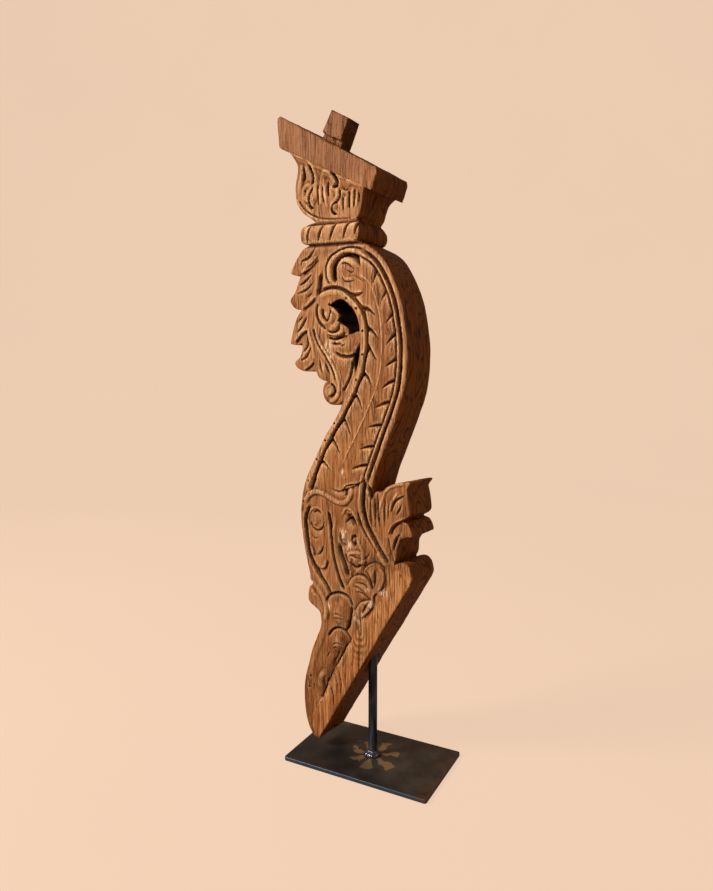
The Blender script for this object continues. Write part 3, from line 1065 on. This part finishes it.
def steel_grain():
    """The mottled scale that the rod and the plate share: a colour, a roughness and a height."""
    tree, given, result = surface_group(
        "steel scale",
        [("Vector", "NodeSocketVector", (0, 0, 0)), ("Dark", "NodeSocketColor", shade(30, 28, 28)),
         ("Light", "NodeSocketColor", shade(70, 64, 60)), ("Size", "NodeSocketFloat", 60.0)],
        [("Color", "NodeSocketColor"), ("Roughness", "NodeSocketFloat"), ("Height", "NodeSocketFloat")])
    broad = node(tree, "TexNoise", None, {"Vector": given.outputs["Vector"], "Scale": given.outputs["Size"],
                                          "Detail": 5.0, "Roughness": 0.6}).outputs[0]
    fine = node(tree, "TexNoise", None, {"Vector": given.outputs["Vector"], "Scale": 1400.0,
                                         "Detail": 2.0}).outputs[0]
    colour = mixed(tree, between(tree, broad, 0.35, 0.7), given.outputs["Dark"], given.outputs["Light"])
    tree.links.new(colour, result.inputs["Color"])
    rough = calculate(tree, "ADD", times(tree, broad, 0.3), times(tree, fine, 0.15))
    tree.links.new(rough, result.inputs["Roughness"])
    tree.links.new(calculate(tree, "ADD", fine, broad), result.inputs["Height"])
    return tree


def scaled_steel(tree, group, surface, coords, dark, light, size, rough, bump_height):
    """Steel scale laid on a surface, with its bump and shine, and its colour to work on."""
    grain = node(tree, "Group", {"node_tree": group},
                 {"Vector": coords, "Dark": dark, "Light": light, "Size": size})
    tree.links.new(calculate(tree, "ADD", grain.outputs["Roughness"], rough), surface.inputs["Roughness"])
    bump = node(tree, "Bump", None,
                {"Strength": 0.4, "Distance": bump_height, "Height": grain.outputs["Height"]})
    tree.links.new(bump.outputs[0], surface.inputs["Normal"])
    surface.inputs["Metallic"].default_value = 0.7
    return grain.outputs["Color"]


def plate_steel(group):
    """Dark hot-rolled sheet: bluish rubbed edges and a ring of golden heat marks round the weld."""
    material, tree, surface, coords = new_material("dark sheet steel")
    colour = scaled_steel(tree, group, surface, coords, shade(72, 61, 51), shade(98, 86, 73), 28.0, 0.2,
                          0.0002)
    squared = (0, 0, math.radians(-PLATE_TURN))
    turned = node(tree, "Mapping", None, {"Vector": coords, "Rotation": squared}).outputs[0]
    across, along, _ = node(tree, "SeparateXYZ", None, {"Vector": turned}).outputs
    far = node(tree, "VectorMath", {"operation": "LENGTH"},
               {0: node(tree, "CombineXYZ", None, {"X": across, "Y": along}).outputs[0]}).outputs["Value"]
    turn = calculate(tree, "ARCTAN2", along, across)
    wander = noise(tree, coords, 1, 60, 2, 0.5)
    petal = calculate(tree, "MULTIPLY_ADD", wander, 6.0, times(tree, turn, HEAT_MARKS))
    petal = between(tree, calculate(tree, "COSINE", petal), 0.0, 0.35)
    limit = calculate(tree, "MULTIPLY_ADD", noise(tree, coords, 1, 34, 2, 0.5), 0.07, 0.004)
    petal = times(tree, petal, between(tree, calculate(tree, "SUBTRACT", limit, far), 0.0, 0.003))
    mark = times(tree, petal, between(tree, far, 0.0125, 0.017))
    colour = laid(tree, colour, mark, 0.85, shade(178, 140, 92))
    near_corner = calculate(tree, "MULTIPLY_ADD", across, 0.5, along)
    colour = laid(tree, colour, between(tree, near_corner, 0.0, -0.05), 0.45, shade(38, 42, 50))
    edge_x = between(tree, calculate(tree, "ABSOLUTE", across), 0.1182, 0.1198)
    edge_y = between(tree, calculate(tree, "ABSOLUTE", along), 0.0702, 0.0718)
    edge = calculate(tree, "MAXIMUM", edge_x, edge_y)
    colour = laid(tree, colour, edge, 0.7, shade(78, 96, 114))
    brown = times(tree, between(tree, across, 0.09, 0.12),
                      between(tree, noise(tree, coords, 1, 70, 3, 0.6), 0.4, 0.6))
    colour = laid(tree, colour, brown, 0.6, shade(128, 82, 48))
    tree.links.new(colour, surface.inputs["Base Color"])
    return material


def rod_steel(group):
    """Blackened round bar with faint draw marks, bluer and brighter on the weld."""
    material, tree, surface, coords = new_material("blackened bar steel")
    drawn = node(tree, "Mapping", None, {"Vector": coords, "Scale": (1, 1, 0.12)}).outputs[0]
    colour = scaled_steel(tree, group, surface, drawn, shade(32, 33, 38), shade(90, 96, 108), 90.0, -0.07,
                          0.00012)
    up = node(tree, "SeparateXYZ", None, {"Vector": coords}).outputs[2]
    weld = between(tree, up, 0.0145, 0.0115)
    heat = between(tree, noise(tree, coords, 1, 160, 2, 0.5), 0.4, 0.62)
    colour = laid(tree, colour, weld, 0.7, mixed(tree, heat, shade(88, 74, 66), shade(120, 128, 146)))
    tree.links.new(colour, surface.inputs["Base Color"])
    return material


def studio_paper():
    """Matt peach paper, lit so evenly that the view sees almost no fall-off, with soft shadows left on it."""
    material, tree, surface, coords = new_material("studio paper")
    cloudy = noise(tree, coords, 1, 1.3, 2, 0.5)
    tint = mixed(tree, cloudy, PAPER_COLOUR, tuple(c * 0.97 for c in PAPER_COLOUR[:3]) + (1.0,))
    bounced = mixed(tree, 1.0, tint, (PAPER_BOUNCE,) * 3 + (1.0,), "MULTIPLY")
    tree.links.new(bounced, surface.inputs["Base Color"])
    seen = node(tree, "LightPath").outputs["Is Camera Ray"]
    glow = calculate(tree, "MULTIPLY_ADD", seen, PAPER_GLOW - PAPER_FILL, PAPER_FILL)
    tree.links.new(mixed(tree, 1.0, tint, glow, "MULTIPLY"), surface.inputs["Emission Color"])
    surface.inputs["Emission Strength"].default_value = 1.0
    surface.inputs["Roughness"].default_value = 1.0
    surface.inputs["Specular IOR Level"].default_value = 0.0
    return material


def finished(name, working, material):
    """A new object from a finished bmesh, smoothly shaded."""
    mesh = bpy.data.meshes.new(name)
    working.to_mesh(mesh)
    working.free()
    for polygon in mesh.polygons:
        polygon.use_smooth = True
    mesh.materials.append(material)
    return placed(name, mesh)


def make_rod(material):
    """The round bar with a lumpy hand-laid weld bead at its foot."""
    foot = PLATE_TOP + WELD_GAP
    bead_top = PLATE_TOP + WELD_HEIGHT
    top = wall_height() + TOE_HEIGHT + SOCKET_DEPTH - WELD_GAP
    bead_line = [(WELD_RADIUS - 1.2, foot), (WELD_RADIUS, foot + 1.2), (WELD_RADIUS - 0.4, foot + 2.6),
                 (WELD_RADIUS - 1.8, foot + 4.0), (WELD_RADIUS - 3.8, foot + 5.2),
                 (ROD_RADIUS + 1.0, bead_top), (ROD_RADIUS, bead_top + 0.8)]
    shaft = [(ROD_RADIUS, up) for up in np.linspace(bead_top + 4, top - ROD_ARRIS, 24)]
    profile = [(0, foot), *bead_line, *shaft, (ROD_RADIUS - ROD_ARRIS, top), (0, top)]
    working = bmesh.new()
    verts = [working.verts.new((across / 1000, 0, up / 1000)) for across, up in profile]
    edges = [working.edges.new(pair) for pair in zip(verts, verts[1:])]
    bmesh.ops.spin(working, geom=verts + edges, cent=(0, 0, 0), axis=(0, 0, 1), angle=2 * math.pi, steps=72,
                   use_merge=True)
    bmesh.ops.remove_doubles(working, verts=working.verts[:], dist=0.00001)
    bmesh.ops.recalc_face_normals(working, faces=working.faces[:])
    for vert in working.verts:
        up = vert.co.z * 1000
        far = math.hypot(vert.co.x, vert.co.y) * 1000
        if foot + 0.5 < up < bead_top + 1 and far > ROD_RADIUS:
            turn = math.atan2(vert.co.y, vert.co.x)
            lump = 0.55 * math.sin(turn * 11 + 2 * math.sin(turn * 3)) + 0.35 * math.sin(turn * 23 + 1)
            share = 1 + (lump - 0.9) / far * 0.9
            vert.co.x *= share
            vert.co.y *= share
    return finished("steel_rod", working, material)


def make_plate(material):
    """The flat foot, with small round corners and softened sawn edges."""
    working = bmesh.new()
    bmesh.ops.create_cube(working, size=1)
    size = Vector((PLATE_LENGTH, PLATE_WIDTH, PLATE_TOP)) / 1000
    bmesh.ops.scale(working, verts=working.verts[:], vec=size)
    bmesh.ops.translate(working, verts=working.verts[:], vec=(0, 0, PLATE_TOP / 2000))
    for is_upright, offset, segments in ((True, PLATE_CORNER, 8), (False, PLATE_ARRIS, 3)):
        edges = [edge for edge in working.edges
                 if (abs(edge.verts[0].co.z - edge.verts[1].co.z) > 0.003) == is_upright]
        bmesh.ops.bevel(working, geom=edges, offset=offset / 1000, segments=segments, profile=0.5,
                        affect="EDGES", material=-1)
    bmesh.ops.rotate(working, verts=working.verts[:], cent=(0, 0, 0),
                     matrix=Matrix.Rotation(math.radians(PLATE_TURN), 3, "Z"))
    plate = finished("steel_plate", working, material)
    plate.data.set_sharp_from_angle(angle=math.radians(35))
    return plate


def make_floor(material):
    """One sheet of studio paper that sweeps up behind the object."""
    working = bmesh.new()
    bmesh.ops.create_grid(working, x_segments=8, y_segments=64, size=0.5)
    for vert in working.verts:
        along = (vert.co.y + 0.5) * PAPER_LENGTH
        turn = min(max((along - PAPER_FLAT) / PAPER_BEND, 0.0), math.pi / 2)
        rise = max(along - PAPER_FLAT - PAPER_BEND * math.pi / 2, 0.0)
        vert.co.x *= PAPER_WIDTH
        vert.co.y = min(along, PAPER_FLAT) + PAPER_BEND * math.sin(turn) - PAPER_FRONT
        vert.co.z = PAPER_BEND * (1 - math.cos(turn)) + rise
    bmesh.ops.rotate(working, verts=working.verts[:], cent=(0, 0, 0),
                     matrix=Matrix.Rotation(math.radians(CAMERA_TURN), 3, "Z"))
    return finished("paper_floor", working, material)


def add_light(name, place, target, size, power, colour):
    """A round soft light that faces a target."""
    lamp = bpy.data.lights.new(name, "AREA")
    lamp.shape = "DISK"
    lamp.size = size
    lamp.energy = power
    lamp.color = colour
    light = placed(name, lamp)
    light.location = place
    light.rotation_euler = (Vector(target) - Vector(place)).to_track_quat("-Z", "Y").to_euler()


def light_and_camera():
    """Soft daylight from the front left and above, a weak fill, and the photo's own view."""
    scene = bpy.context.scene
    scene.view_settings.view_transform = "Standard"
    world = bpy.data.worlds.new("studio")
    world.use_nodes = True
    world.node_tree.nodes["Background"].inputs[0].default_value = WORLD_COLOUR
    world.node_tree.nodes["Background"].inputs[1].default_value = WORLD_STRENGTH
    scene.world = world
    for name, place, size, power, colour in LIGHTS:
        add_light(name, place, (0, 0, 0.5), size, power, colour)
    view = bpy.data.cameras.new("view")
    view.sensor_fit = "HORIZONTAL"
    view.sensor_width = 36
    view.lens = 36 * CAMERA_FOCAL
    view.clip_start = 0.05
    camera = placed("view", view)
    camera.location = CAMERA_PLACE
    camera.rotation_euler = (math.radians(90 - CAMERA_DIP), 0, math.radians(CAMERA_TURN))
    scene.camera = camera


def main():
    front = Relief(CUT_STEP, True)
    back = Relief(CUT_STEP * 2, False)
    timber = make_timber(front, back)
    timber.data.materials.clear()
    timber.data.materials.append(old_wood())
    mark_surface(timber, front, back)
    grain = steel_grain()
    rod = make_rod(rod_steel(grain))
    plate = make_plate(plate_steel(grain))
    for piece, cad_node, finish in ((timber, "carved_bracket", "timber"), (rod, "stand_rod", "rod_steel"),
                                    (plate, "base_plate", "plate_steel")):
        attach(piece, "root")
        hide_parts(cad_node)
    make_floor(studio_paper())
    light_and_camera()


main()
